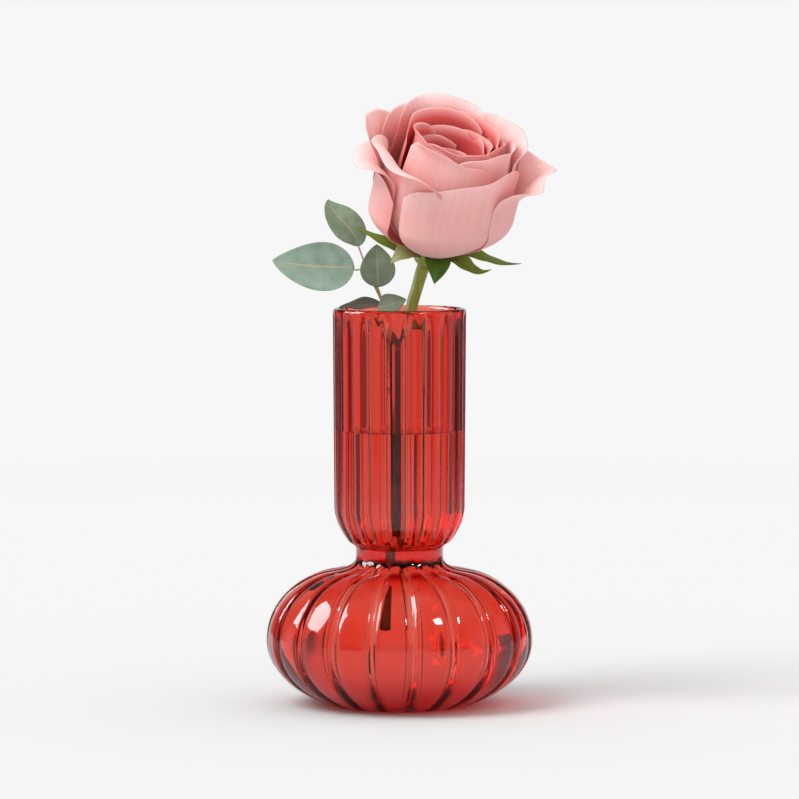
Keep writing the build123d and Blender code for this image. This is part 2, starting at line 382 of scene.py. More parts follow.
def flutedRings(line, depthShare):
    # each point of the line pushed in along the line's own normal by the flutes: a bell-shaped channel of
    # even width at each groove on top of a gentle crown; they fade out at the collar and under the rim
    v = vase
    angles, away = fluteLine()
    along = np.gradient(line, axis=0)
    along /= np.linalg.norm(along, axis=1, keepdims=True)
    normal = np.stack([along[:, 1], -along[:, 0]], -1)
    radius, height = line[:, 0], line[:, 1]
    width = v["grooveHalf"] / (pi * np.maximum(radius, 10) / v["flutes"])
    channel = np.exp(-(away[None, :] / width[:, None]) ** 2)
    crown = (1 - away[None, :]) ** v["crownPower"]
    share = v["channel"] * channel + (1 - v["channel"]) * crown
    collar = smoothStep((np.abs(height - v["neckHeight"]) - v["collarFade"][0]) / v["collarFade"][1])
    lip = smoothStep((rim - v["lipFade"][0] - height) / v["lipFade"][1])
    foot = 0.5 + 0.5 * smoothStep(height / v["footFade"])
    depth = (v["fluteDepth"] + v["fluteDeepen"] * radius) * collar * lip * foot * depthShare
    push = depth[:, None] * share
    return ringsRound(radius[:, None] - normal[:, :1] * push, height[:, None] - normal[:, 1:] * push, angles)


def glassMaterial():
    # coral-red soda glass, blown in a ribbed mould and fire polished: clear, wet-looking, darker where it is
    # thick; where water lies against it, its index is the ratio of the two, so light bends there once
    v = vase
    material, tree = newMaterial("coralBlownGlass")
    wet = addNode(tree, "ShaderNodeAttribute", attribute_name="wet").outputs["Fac"]
    index = addNode(tree, "ShaderNodeMapRange", {0: wet, 3: v["glassIor"], 4: v["glassIor"] / v["waterIor"]})
    values = {"Base Color": (1, 1, 1, 1), "Roughness": 0.0, "IOR": index, "Transmission Weight": 1.0}
    glass = addNode(tree, "ShaderNodeBsdfPrincipled", values)
    tint = addNode(tree, "ShaderNodeVolumeAbsorption", {"Color": v["tint"], "Density": v["tintDensity"]})
    addNode(tree, "ShaderNodeOutputMaterial", {"Surface": glass, "Volume": tint})
    return material


def waterMaterial():
    # clear tap water; its wall against the glass is left out, because the glass bends the light there
    material, tree = newMaterial("clearWater")
    wall = addNode(tree, "ShaderNodeAttribute", attribute_name="wall").outputs["Fac"]
    values = {"Base Color": (1, 1, 1, 1), "Roughness": 0.0, "IOR": vase["waterIor"],
              "Transmission Weight": 1.0}
    water = addNode(tree, "ShaderNodeBsdfPrincipled", values)
    clear = addNode(tree, "ShaderNodeBsdfTransparent")
    mix = addNode(tree, "ShaderNodeMixShader", {0: wall, 1: water, 2: clear})
    addNode(tree, "ShaderNodeOutputMaterial", {"Surface": mix})
    return material


def makeVase():
    # rings from the middle of the foot, up the outside, round the rim and down the inside to the middle of
    # the floor, with two rings close together at the water's edge
    v = vase
    angles = fluteLine()[0]
    rimHalf = v["wall"] / 2
    outsideLine = sideLine(0, 0, rim - rimHalf)
    beadPlace = (outsideLine[:, 1] - rim + v["beadBelow"]) / v["beadHalf"][0]
    outsideLine[:, 0] += v["rimBead"] * np.exp(-beadPlace ** 2)
    outside = flutedRings(outsideLine, 1)
    insideLine = sideLine(v["wall"], v["floorThickness"], rim - rimHalf)
    first = np.argmax(insideLine[:, 1] > v["waterLevel"])
    wallRadius = np.interp(v["waterLevel"], *insideLine[first - 1:first + 1, ::-1].T)
    wetEdge = v["waterLevel"] + 0.8
    edge = [(wallRadius, wetEdge - 0.05), (wallRadius, wetEdge + 0.05)]
    beyond = first + (insideLine[first, 1] < edge[1][1])
    insideLine = np.concatenate([insideLine[:first], edge, insideLine[beyond:]])
    wetRows = insideLine[:, 1] < wetEdge
    beadPlace = (insideLine[:, 1] - rim + v["beadBelow"]) / v["beadHalf"][1]
    bead = v["rimBead"] * np.exp(-beadPlace ** 2)
    insideLine[:, 0] -= bead
    inside = flutedRings(insideLine, v["fluteInside"])[::-1]
    turns = np.linspace(0, pi, 9)
    lipRadius = v["rimRadius"] - rimHalf + (rimHalf + bead[-1]) * np.cos(turns)
    lipRings = ringsRound(lipRadius, rim - rimHalf + rimHalf * np.sin(turns), angles)
    underRadius = np.array([8.0, 18.0, 23.0, 25.5, 27.5, 29.0])
    hollow = v["footHollow"] * (1 - smoothStep((underRadius - 20) / 7.5))
    under = ringsRound(underRadius, hollow, angles)
    floorRadius = np.array([28.0, 22.0, 14.0, 6.0])
    floorRings = ringsRound(floorRadius, v["floorThickness"] + 0 * floorRadius, angles)
    grid = np.concatenate([under, outside, lipRings, inside, floorRings])
    verts, faces = roundSurface(grid, (0, 0, v["footHollow"]), (0, 0, v["floorThickness"]))
    dryRows = np.zeros(len(under) + len(outside) + len(lipRings))
    wet = np.concatenate([dryRows, wetRows[::-1], np.ones(len(floorRings))])
    marks = {"wet": np.concatenate([np.repeat(wet, len(angles)), [0, 1]])}
    glass = glassMaterial()
    addPiece("fluted_glass", verts, faces, glass, "vase", ["glass_vase"], marks=marks)


def makeWater():
    # fills the vase up to its level, just let into the glass, with the surface creeping up the wall
    v = vase
    sink = 0.1
    angles = fluteLine()[0]
    line = sideLine(v["wall"] - sink, v["floorThickness"] - sink, rim)
    line = line[line[:, 1] < v["waterLevel"] - 2]
    cupRadius = np.interp(v["waterLevel"], [v["cupStart"], rim], [v["cupRadius"], v["rimRadius"]])
    wallRadius = cupRadius - v["wall"] + sink
    top = [(wallRadius, v["waterLevel"] - 1), (wallRadius, v["waterLevel"] + v["creep"])]
    rings = flutedRings(np.concatenate([line, top]), v["fluteInside"])
    inwards = np.array([0.15, 0.5, 1.0, 1.8, 3.0, 5.0, 9.0, 15.0, 21.0])
    climb = v["creep"] * np.exp(-inwards / v["creep"])
    edgeRadius = np.hypot(rings[-1, :, 0], rings[-1, :, 1])
    radius = (edgeRadius[None, :] - inwards[:, None]).clip(1.0)
    surface = ringsRound(radius, v["waterLevel"] + climb, angles)
    grid = np.concatenate([rings, surface])
    verts, faces = roundSurface(grid, (0, 0, v["floorThickness"] - sink), (0, 0, v["waterLevel"]))
    wall = np.repeat(np.concatenate([np.ones(len(rings)), np.zeros(len(surface))]), len(angles))
    marks = {"wall": np.concatenate([wall, [1, 0]])}
    addPiece("water", verts, faces, waterMaterial(), "vase", marks=marks)


makeVase()
makeWater()
print("vase and water made")


sprigOrigin = np.array([0, -5.5, rim])      # places on the sprig are measured from here
bloomBase = np.array([15.0, -4.0, rim + 26.0])
bloomAxis = np.array([0.19, -0.38, 0.90])
bloomAxis /= np.linalg.norm(bloomAxis)
bloomRight = np.array([1.0, 0, 0]) - bloomAxis * bloomAxis[0]
bloomRight /= np.linalg.norm(bloomRight)
bloomBack = np.cross(bloomAxis, bloomRight)


def drawnOut(tree, where, scale, detail):
    # noise drawn out along the surface's own length; scale is how fine it is in each direction
    stretched = addNode(tree, "ShaderNodeMapping", {"Vector": where, "Scale": scale})
    noise = addNode(tree, "ShaderNodeTexNoise", {"Vector": stretched, "Scale": 1.0, "Detail": detail})
    return noise.outputs["Fac"]


def finishTissue(tree, colour, relief, strength, depth, skin, through=0):
    # plant tissue: a skin with fine relief, depth in metres, and the share of light that comes through it
    bump = addNode(tree, "ShaderNodeBump", {"Strength": strength, "Distance": depth, "Height": relief})
    surface = addNode(tree, "ShaderNodeBsdfPrincipled", {"Base Color": colour, "Normal": bump, **skin})
    if through:
        glow = addNode(tree, "ShaderNodeBsdfTranslucent", {"Color": colour})
        surface = addNode(tree, "ShaderNodeMixShader", {0: through, 1: surface, 2: glow})
    addNode(tree, "ShaderNodeOutputMaterial", {"Surface": surface})


# full and blunt: where the blade is widest and how round it is; fold: how far the halves fold up, cup: how
# far their edges do; wave and waves: height and number of the edge's waves; tip: half width at the stalk
bladeBase = {"rows": 40, "columns": 15, "waves": 3, "tip": 0.12, "thickness": 0.35}


def bladeSurface(spine, face, width, s):
    # spine: control points of the middle line; the half width follows a sine that is fullest below the
    # middle; the two halves fold up from the middle line and the edge waves a little
    middle = bezier(spine, s["rows"])
    t = np.linspace(0, 1, s["rows"])
    along = np.gradient(middle, axis=0)
    along /= np.linalg.norm(along, axis=1, keepdims=True)
    side = np.cross(np.asarray(face, float)[None, :], along)
    side /= np.linalg.norm(side, axis=1, keepdims=True)
    normal = np.cross(along, side)
    half = width / 2 * np.sin(pi * t ** s["full"]) ** s["blunt"]
    half = np.maximum(half, s["tip"] * (1 - t) + 0.1)
    u = np.sin(np.linspace(-pi / 2, pi / 2, s["columns"]))
    lift = (s["fold"] * np.abs(u) + s["cup"] * u ** 2)[None, :] * half[:, None]
    wave = s["wave"] * np.sin(s["waves"] * 2 * pi * t) * np.sin(pi * t)
    lift = lift + wave[:, None] * (np.abs(u) ** 3 * np.sign(u + 0.2))[None, :]
    across = side[:, None, :] * (half[:, None] * u)[..., None]
    grid = middle[:, None, :] + across + normal[:, None, :] * lift[..., None]
    uv = np.stack(np.broadcast_arrays(u[None, :] * 0.5 + 0.5, t[:, None]), -1)
    return grid, uv


def addBlade(name, spine, face, width, shape, material, body):
    s = dict(bladeBase, **shape)
    grid, uv = bladeSurface(spine, face, width, s)
    verts, faces, border, side = shellSurface(grid, np.full(grid.shape[:2], s["thickness"]))
    inner = np.concatenate([side, np.ones((~border).sum())])
    uvs = np.concatenate([uv.reshape(-1, 2), uv[~border]])
    addPiece(name + "_blade", verts, faces, material, body, [name], uvs, {"inner": inner})


def leafMaterial(name, top, dark, rib, seed):
    # eucalyptus leaf: dull grey-green under a waxy bloom, with a fine pale midrib and faint side veins
    material, tree = newMaterial(name)
    place = addNode(tree, "ShaderNodeTexCoord")
    uv = addNode(tree, "ShaderNodeSeparateXYZ", {"Vector": place.outputs["UV"]})
    centre = addNode(tree, "ShaderNodeMath", {0: uv.outputs["X"], 1: 0.5}, operation="SUBTRACT")
    off = addNode(tree, "ShaderNodeMath", {0: centre}, operation="ABSOLUTE")
    # bloom patches about 6 mm across
    cloud = addNode(tree, "ShaderNodeTexNoise",
                    {"Vector": place.outputs["Object"], "Scale": 160.0, "Detail": 5.0, "W": seed},
                    noise_dimensions="4D").outputs["Fac"]
    patch = addNode(tree, "ShaderNodeMapRange", {0: cloud, 1: 0.35, 2: 0.7})
    colour = addNode(tree, "ShaderNodeMix", {0: patch, 6: dark, 7: top}, data_type="RGBA")
    # side veins run out and up from the midrib, 2 to 4 mm apart
    slant = addNode(tree, "ShaderNodeMath", {0: off, 1: -0.9, 2: uv.outputs["Y"]}, operation="MULTIPLY_ADD")
    turns = addNode(tree, "ShaderNodeMath", {0: slant, 1: 62.0}, operation="MULTIPLY")
    wave = addNode(tree, "ShaderNodeMath", {0: turns}, operation="SINE")
    vein = addNode(tree, "ShaderNodeMapRange", {0: wave, 1: 0.86, 2: 1.0, 3: 0.0, 4: 0.22})
    colour = addNode(tree, "ShaderNodeMix", {0: vein, 6: colour, 7: rib}, data_type="RGBA")
    midrib = addNode(tree, "ShaderNodeMapRange", {0: off, 1: 0.012, 2: 0.03, 3: 0.75, 4: 0.0})
    colour = addNode(tree, "ShaderNodeMix", {0: midrib, 6: colour, 7: rib}, data_type="RGBA")
    relief = addNode(tree, "ShaderNodeMath", {0: midrib, 1: vein}, operation="ADD")
    skin = {"Roughness": 0.55, "Sheen Weight": 0.15, "Specular IOR Level": 0.35}
    finishTissue(tree, colour, relief, 0.25, 0.0004, skin, 0.18)
    return material


oval = {"full": 0.76, "blunt": 0.80, "fold": 0.10, "cup": 0.10, "wave": 0.5, "waves": 1.5}
# control points of the middle line, the way the leaf faces, its width and which of the leaf colours it has
leaves = {
    "leaf_upper": ([(-18.4, -2, 28), (-19.5, -3, 37), (-31, -1, 42), (-32, 3, 49)],
                   (0.2, -1, -0.1), 14.0, "eucalyptusDull"),
    "leaf_left": ([(-20.2, -2.5, 18.5), (-30, -4.5, 18.7), (-46, -6, 19.2), (-57, -6, 22)],
                  (0, -1, 0.1), 22.0, "eucalyptusBlue"),
    "leaf_centre": ([(-9.9, -4, 9.8), (-9.6, -5.5, 16), (-10, -5, 23), (-10.2, -3, 29)],
                    (0.05, -1, 0), 15.8, "eucalyptusGrey"),
    "leaf_rim_right": ([(-9.6, -2.2, 0.8), (-6, -3.4, 1.2), (-2, -3.8, 2.6), (3.0, -3.4, 4.4)],
                       (0.2, -1, 0.5), 10.5, "eucalyptusGrey"),
    # painted shade: the leaf at the left of the rim takes the darkened leaf colours
    "leaf_rim_left": ([(-8, 1.5, 1.2), (-14, 2, 2.0), (-20, 4, 1.4), (-27.5, 5, 0.2)],
                      (0, -0.45, 1), 11.0, "eucalyptusPaintedShade"),
}
# lit patches, dull patches, veins
leafColours = {
    "eucalyptusDull": ("#8b9a80", "#6f8068", "#a9a382"),
    "eucalyptusBlue": ("#9cb3a2", "#849c8a", "#bdb48e"),
    "eucalyptusGrey": ("#7c8a72", "#66755e", "#9c9676"),
    # painted shade: this last set is the leaf colours made darker and browner, standing for the shade the rim
    # leaf lies in
    "eucalyptusPaintedShade": ("#5d5546", "#4a4236", "#7b6a52"),
}


def makeLeaves():
    skins = {}
    for index, (name, colours) in enumerate(leafColours.items()):
        skins[name] = leafMaterial(name, *colours, index + 1.0)
    for name, (points, face, width, skin) in leaves.items():
        spine = [sprigOrigin + np.array(p) for p in points]
        addBlade(name, spine, face, width, oval, skins[skin], "sprig")


def sepalMaterial(name, light, deep):
    # rose sepal: fresh green with fine lengthwise streaks
    material, tree = newMaterial(name)
    place = addNode(tree, "ShaderNodeTexCoord")
    streak = drawnOut(tree, place.outputs["UV"], (26.0, 2.0, 1.0), 4.0)
    tone = addNode(tree, "ShaderNodeMapRange", {0: streak, 1: 0.32, 2: 0.68})
    colour = addNode(tree, "ShaderNodeMix", {0: tone, 6: deep, 7: light}, data_type="RGBA")
    finishTissue(tree, colour, streak, 0.2, 0.0003, {"Roughness": 0.5, "Specular IOR Level": 0.4}, 0.25)
    return material


slim = {"full": 0.62, "blunt": 1.0, "fold": 0.25, "cup": 0.1, "wave": 0.3, "rows": 44, "columns": 11}
# control points of the middle line from the bloom's base, the width and which of the sepal colours it has
sepals = {
    "sepal_left": ([(-7, -3, -2), (-16, -6, 0), (-26, -5, 6), (-35, -5, 11)], 7.0, "sepalFresh"),
    "sepal_lower_left": ([(-6, -6, -2), (-9, -10, 2), (-15, -12, -1), (-19, -9.5, -5.5)], 12.0,
                         "sepalPale"),
    "sepal_front": ([(0.5, -8, -3), (2.5, -12.5, -3), (2, -14.5, -9), (0.5, -13, -14.5)], 12.0,
                    "sepalDeep"),
    "sepal_lower_right": ([(6, -5.5, -3), (13, -9, -2), (17, -10, -13), (26, -9, -8)], 8.5, "sepalFresh"),
    "sepal_right": ([(7, -1, -2), (20, 0, 2), (24, 4, -8), (40, 6, -6)], 7.0, "sepalFresh"),
}
# light and deep streaks
sepalColours = {
    "sepalPale": ("#b4bb7c", "#93a05a"),
    "sepalFresh": ("#8ea03e", "#647a22"),
    "sepalDeep": ("#5c8420", "#33560c"),
}


def makeSepals():
    skins = {name: sepalMaterial(name, *colours) for name, colours in sepalColours.items()}
    face = bloomAxis + np.array([0, -0.4, 0])
    for name, (points, width, skin) in sepals.items():
        spine = [bloomBase + np.array(p) for p in points]
        addBlade(name, spine, face, width, slim, skins[skin], "rose")


makeLeaves()
makeSepals()
print("leaves and sepals made")


# half: half the angle that the petal spans; base, belly and lip: how far it stands from the bloom's axis at
# its foot, at the share bellyAt of its height, and at its lip; tilt: how much higher one side is; round and
# corner: how far the sides stop short of the lip, and how suddenly; curl: how far the lip rolls out, from the
# share curlFrom, more on one side by curlSide; spiral: how much further out one side stands; ruffle, ruffles
# and phase: depth, number and place of the lip's waves; peak and peakAt: height and place of a point in the
# lip; claw: share of the width at the foot. Angles are in degrees
petalBase = {
    "half": 44, "base": 5, "belly": 30, "lip": 30, "height": 55, "tilt": 0, "round": 0.22, "corner": 3,
    "bellyAt": 0.5, "curl": 25, "curlFrom": 0.82, "curlSide": 0, "spiral": 1.5, "ruffle": 0.5,
    "ruffles": 2.5, "phase": 0, "peak": 0, "peakAt": 0, "claw": 0.3, "rows": 38, "columns": 41,
    "thickness": 0.4,
}

# turn: degrees round the bloom to the petal's middle, 0 to the right, -90 to the front
petals = {
    "petal_outer_1": {"turn": -76, "half": 52, "base": 8, "belly": 31.5, "lip": 32.5, "height": 49,
                      "tilt": 9, "round": 0.14, "corner": 5, "curl": 45, "curlFrom": 0.9, "spiral": -0.8,
                      "ruffle": 0.5, "bellyAt": 0.44, "claw": 0.6},
    "petal_outer_2": {"turn": 3, "half": 54, "base": 8.4, "belly": 32.5, "lip": 34, "height": 50,
                      "tilt": -2, "bellyAt": 0.45, "curl": 62, "curlFrom": 0.62, "curlSide": -0.3,
                      "ruffle": 1.8, "ruffles": 3.0, "phase": 0.6, "peak": 0.05, "peakAt": 0.05,
                      "round": 0.17, "corner": 3.2, "claw": 0.62},
    "petal_outer_3": {"turn": 60, "half": 48, "base": 8, "belly": 32, "lip": 33, "height": 56,
                      "curl": 45, "ruffle": 0.9, "phase": 2, "claw": 0.5},
    "petal_outer_4": {"turn": 125, "half": 48, "base": 8, "belly": 32, "lip": 32, "height": 58,
                      "curl": 45, "ruffle": 0.8, "phase": 1, "claw": 0.5},
    "petal_outer_5": {"turn": -139, "half": 42, "base": 7.4, "belly": 30.5, "lip": 31, "height": 58,
                      "tilt": -5, "curl": 98, "curlFrom": 0.70, "ruffle": 1.0, "phase": 0.5, "claw": 0.6,
                      "bellyAt": 0.45},
    "petal_left_lobe": {"turn": 188, "half": 34, "base": 7.8, "belly": 31, "lip": 31, "height": 53,
                        "curl": 135, "curlFrom": 0.66, "ruffle": 0.8, "claw": 0.5},
    "petal_left_low": {"turn": -172, "half": 38, "base": 8.4, "belly": 32.8, "lip": 33, "height": 39,
                       "curl": 20, "claw": 0.6, "bellyAt": 0.45},
    "petal_middle_1": {"turn": -96, "half": 54, "base": 5.5, "belly": 27.5, "lip": 25, "height": 57,
                       "tilt": -4, "peak": 0.04, "peakAt": -0.45, "curl": 45, "curlFrom": 0.9,
                       "round": 0.12, "corner": 4},
    "petal_middle_2": {"turn": -32, "half": 58, "base": 5.5, "belly": 26.5, "lip": 24, "height": 59,
                       "curl": 35, "tilt": 1, "round": 0.10, "corner": 4, "curlFrom": 0.9},
    "petal_middle_3": {"turn": 34, "half": 50, "base": 5.5, "belly": 28, "lip": 29, "height": 60,
                       "curl": 55, "round": 0.14, "corner": 3.5, "ruffle": 0.9, "phase": 1.3},
    "petal_middle_4": {"turn": 108, "half": 52, "base": 5.5, "belly": 28, "lip": 25, "height": 65,
                       "curl": 55, "round": 0.14, "corner": 3.5, "ruffle": 1.0},
    "petal_middle_5": {"turn": 163, "half": 38, "base": 5.5, "belly": 30, "lip": 38, "height": 57,
                       "curl": 30, "peak": 0.13, "peakAt": 0.6, "round": 0.24, "corner": 2.2,
                       "ruffle": 1.0, "ruffles": 3},
    "petal_inner_1": {"turn": -95, "half": 74, "belly": 22, "lip": 18, "height": 58, "round": 0.12},
    "petal_inner_2": {"turn": -20, "half": 74, "belly": 21.5, "lip": 18.5, "height": 58, "round": 0.12},
    "petal_inner_3": {"turn": 52, "half": 74, "belly": 22.5, "lip": 20, "height": 60, "round": 0.12},
    "petal_inner_4": {"turn": 124, "half": 74, "belly": 22.5, "lip": 20.5, "height": 61, "round": 0.12},
    "petal_inner_5": {"turn": 196, "half": 74, "belly": 22, "lip": 18.5, "height": 59, "round": 0.12},
    "petal_core_1": {"turn": 239, "half": 84, "belly": 17, "lip": 15.0, "height": 49, "round": 0.09},
    "petal_core_2": {"turn": 311, "half": 84, "belly": 17, "lip": 14.5, "height": 50, "round": 0.09},
    "petal_core_3": {"turn": 23, "half": 84, "belly": 17, "lip": 15.5, "height": 54, "round": 0.09},
    "petal_core_4": {"turn": 95, "half": 84, "belly": 17, "lip": 16.5, "height": 54, "round": 0.09},
    "petal_core_5": {"turn": 167, "half": 84, "belly": 17, "lip": 15.5, "height": 51, "round": 0.09},
}
# the inner and core petals share these, with waves and tilts that change from one to the next
closePetal = {"base": 4.2, "corner": 3, "curl": 38, "curlFrom": 0.9, "spiral": 2.6, "claw": 0.4,
              "ruffle": 0.8, "ruffles": 2.2}
for petalName, petal in petals.items():
    if "inner" in petalName or "core" in petalName:
        turn = radians(petal["turn"])
        petals[petalName] = {**closePetal, "phase": 3 * turn, "tilt": 1.6 * sin(2 * turn), **petal}

# the heart: petals wound inwards, each step degrees further round and drop lower than the one before
whorl = {"count": 7, "outer": 11.0, "inner": 1.8, "height": 45, "drop": 0.9, "turn": 60, "step": 137}
heartPetal = {"base": 2.0, "curl": 25, "curlFrom": 0.93, "round": 0.08, "corner": 3, "ruffle": 0.7,
              "claw": 0.5, "rows": 30, "columns": 37}


def petalSurface(s):
    # across u and up v: the blade widens from its claw, stops short of the lip at its sides, swells to the
    # belly, closes or opens to the lip, then rolls outwards along an arc; one side stands further out than
    # the other. Rows gather towards the lip and columns towards the sides
    v = 1 - (1 - np.linspace(0, 1, s["rows"])[:, None]) ** 1.25
    fan = 0.96 * pi / 2
    u = np.sin(np.linspace(-fan, fan, s["columns"]))[None, :] / sin(fan)
    width = s["claw"] + (1 - s["claw"]) * np.sin(pi / 2 * np.minimum(v / 0.7, 1)) ** 0.9
    along = v * (1 - s["round"] * np.abs(u) ** s["corner"])
    along = along + s["peak"] * np.exp(-((u - s["peakAt"]) / 0.28) ** 2) * v ** 3
    angle = radians(s["turn"]) + radians(s["half"]) * u * width
    swell = np.sin(pi / 2 * np.minimum(along / s["bellyAt"], 1))
    close = smoothStep((along - s["bellyAt"]) / (1 - s["bellyAt"]))
    radius = s["base"] + (s["belly"] - s["base"]) * swell + (s["lip"] - s["belly"]) * close
    height = s["height"] * along + s["tilt"] * u * along
    curl = radians(s["curl"]) * (1 + s["curlSide"] * u)
    extra = np.maximum(along - s["curlFrom"], 0) * s["height"]
    roll = (1 - s["curlFrom"]) * s["height"] / np.maximum(curl, 0.02)
    radius = radius + roll * (1 - np.cos(extra / roll))
    height = height + roll * np.sin(extra / roll) - extra
    wave = s["ruffle"] * np.sin(s["ruffles"] * pi * u + s["phase"]) * np.clip(along, 0, 1.2) ** 5
    radius = radius + wave + s["spiral"] * u * (0.3 + 0.7 * along)
    height = height + 0.6 * s["ruffle"] * np.cos(s["ruffles"] * pi * u + s["phase"] + 1) * along ** 4
    out = np.cos(angle)[..., None] * bloomRight + np.sin(angle)[..., None] * bloomBack
    grid = bloomBase + radius[..., None] * out + height[..., None] * bloomAxis
    uv = np.stack([u * 0.5 + 0.5 + 0 * v, v + 0 * u], -1)
    return grid, uv


def petalMaterial(name, outsideStops, insideStops, haze):
    # rose petal: soft velvety skin, pale pink outside and salmon inside, deeper towards its base,
    # with fine lengthwise veins about 1 mm apart and a light lip
    material, tree = newMaterial(name)
    place = addNode(tree, "ShaderNodeTexCoord")
    uv = addNode(tree, "ShaderNodeSeparateXYZ", {"Vector": place.outputs["UV"]})
    inner = addNode(tree, "ShaderNodeAttribute", attribute_name="inner").outputs["Fac"]
    outside = addNode(tree, "ShaderNodeValToRGB", {0: uv.outputs["Y"]}, stops=outsideStops)
    inside = addNode(tree, "ShaderNodeValToRGB", {0: uv.outputs["Y"]}, stops=insideStops)
    colour = addNode(tree, "ShaderNodeMix", {0: inner, 6: outside, 7: inside}, data_type="RGBA")
    # painted shade: each petal is darker and redder towards its right side, as in the shade where it tucks
    # under the next
    paintedFoldShade = addNode(tree, "ShaderNodeMapRange", {0: uv.outputs["X"], 1: 0.70, 2: 0.97, 3: 0.0, 4: 0.55})
    colour = addNode(tree, "ShaderNodeMix", {0: paintedFoldShade, 6: colour, 7: "#ea7670"}, data_type="RGBA")
    vein = drawnOut(tree, place.outputs["UV"], (38.0, 2.2, 1.0), 4.0)
    veinTone = addNode(tree, "ShaderNodeMapRange", {0: vein, 1: 0.45, 2: 0.75, 3: 0.0, 4: 0.28})
    colour = addNode(tree, "ShaderNodeMix", {0: veinTone, 6: colour, 7: "#ea9a9c"}, data_type="RGBA")
    cloud = addNode(tree, "ShaderNodeTexNoise",
                    {"Vector": place.outputs["Object"], "Scale": 60.0, "Detail": 3.0})
    mist = addNode(tree, "ShaderNodeMapRange", {0: cloud.outputs["Fac"], 1: 0.35, 2: 0.7, 3: 0.0, 4: haze})
    colour = addNode(tree, "ShaderNodeMix", {0: mist, 6: colour, 7: "#f8c4bc"}, data_type="RGBA")
    skin = {"Roughness": 0.6, "Sheen Weight": haze * 0.7, "Sheen Roughness": 0.4, "Specular IOR Level": 0.3}
    finishTissue(tree, colour, vein, 0.12, 0.0003, skin, 0.35)
    return material


def addPetal(name, shape, material, replaced=()):
    s = dict(petalBase, **shape)
    grid, uv = petalSurface(s)
    verts, faces, border, side = shellSurface(grid, np.full(grid.shape[:2], s["thickness"]))
    inner = np.concatenate([side, np.ones((~border).sum())])
    uvs = np.concatenate([uv.reshape(-1, 2), uv[~border]])
    addPiece(name, verts, faces, material, "rose", replaced, uvs, {"inner": inner})


def makePetals():
    pale = [(0.0, "#f6dfc8"), (0.25, "#fbcac4"), (0.7, "#fcc8c6"), (1.0, "#fddcdb")]
    salmon = [(0.0, "#e2605a"), (0.4, "#f6a09b"), (0.65, "#fed0cd"), (1.0, "#fee6e4")]
    warm = [(0.0, "#ea706a"), (0.6, "#f08580"), (0.88, "#f9b0ac"), (1.0, "#fcd0d0")]
    coral = [(0.0, "#b81616"), (0.7, "#e03634"), (0.92, "#ee6c69"), (1.0, "#fbc4c0")]
    outer = petalMaterial("rosePetalOuter", pale, salmon, 0.3)
    heart = petalMaterial("rosePetalHeart", warm, coral, 0.08)
    for name, shape in petals.items():
        known = [name] if name in nodes else []
        material = heart if "inner" in name or "core" in name else outer
        addPetal(name + "_skin", shape, material, known)
    for index in range(whorl["count"]):
        share = index / (whorl["count"] - 1)
        radius = whorl["outer"] + (whorl["inner"] - whorl["outer"]) * share
        shape = {**heartPetal, "turn": whorl["turn"] + whorl["step"] * index, "half": 88 + 30 * share,
                 "height": whorl["height"] - whorl["drop"] * index, "belly": radius * 1.12, "lip": radius,
                 "spiral": 2.4 * (1 - share / 2), "tilt": 2.0 * cos(2.4 * index), "phase": 1.7 * index}
        addPetal(f"heart_petal_{index + 1}", shape, heart, ["rose_heart"] if index == 0 else [])


makePetals()
print("petals made")


def stemMaterial():
    # rose stem: green skin over wood, satin, lighter olive in patches, fine lengthwise grain
    material, tree = newMaterial("roseStemSkin")
    place = addNode(tree, "ShaderNodeTexCoord").outputs["Object"]
    grain = drawnOut(tree, place, (900.0, 900.0, 60.0), 4.0)
    tone = addNode(tree, "ShaderNodeMapRange", {0: grain, 1: 0.3, 2: 0.7})
    colour = addNode(tree, "ShaderNodeMix", {0: tone, 6: "#75892a", 7: "#a3ae52"}, data_type="RGBA")
    cloud = addNode(tree, "ShaderNodeTexNoise", {"Vector": place, "Scale": 70.0, "Detail": 2.0})
    patch = addNode(tree, "ShaderNodeMapRange", {0: cloud.outputs["Fac"], 1: 0.5, 2: 0.72, 3: 0.0, 4: 0.6})
    colour = addNode(tree, "ShaderNodeMix", {0: patch, 6: colour, 7: "#a9a94e"}, data_type="RGBA")
    finishTissue(tree, colour, grain, 0.3, 0.0003, {"Roughness": 0.42})
    return material


def barkMaterial():
    # eucalyptus twig: smooth brown bark with a reddish cast, paler at the young ends
    material, tree = newMaterial("eucalyptusBark")
    place = addNode(tree, "ShaderNodeTexCoord").outputs["Object"]
    level = addNode(tree, "ShaderNodeSeparateXYZ", {"Vector": place}).outputs["Z"]
    young = addNode(tree, "ShaderNodeMapRange", {0: level, 1: (rim - 20) * mm, 2: (rim + 4) * mm})
    grain = drawnOut(tree, place, (1200.0, 1200.0, 160.0), 5.0)
    tone = addNode(tree, "ShaderNodeMapRange", {0: grain, 1: 0.3, 2: 0.7})
    old = addNode(tree, "ShaderNodeMix", {0: tone, 6: "#33211a", 7: "#5a3d2c"}, data_type="RGBA")
    new = addNode(tree, "ShaderNodeMix", {0: tone, 6: "#8f7a58", 7: "#b09b78"}, data_type="RGBA")
    colour = addNode(tree, "ShaderNodeMix", {0: young, 6: old, 7: new}, data_type="RGBA")
    finishTissue(tree, colour, grain, 0.4, 0.0002, {"Roughness": 0.6})
    return material


def smoothPath(points, count):
    # Catmull-Rom line through the points, each run blended from its four nearest points
    p = np.array(points, float)
    p = np.concatenate([[2 * p[0] - p[1]], p, [2 * p[-1] - p[-2]]])
    t = np.linspace(0, 1, count, endpoint=False)[:, None]
    runs = []
    for a, b, c, d in zip(p, p[1:], p[2:], p[3:]):
        runs.append(0.5 * (2 * b + (c - a) * t + (2 * a - 5 * b + 4 * c - d) * t ** 2
                           + (3 * b - a - 3 * c + d) * t ** 3))
    return np.concatenate(runs + [p[-2:-1]])


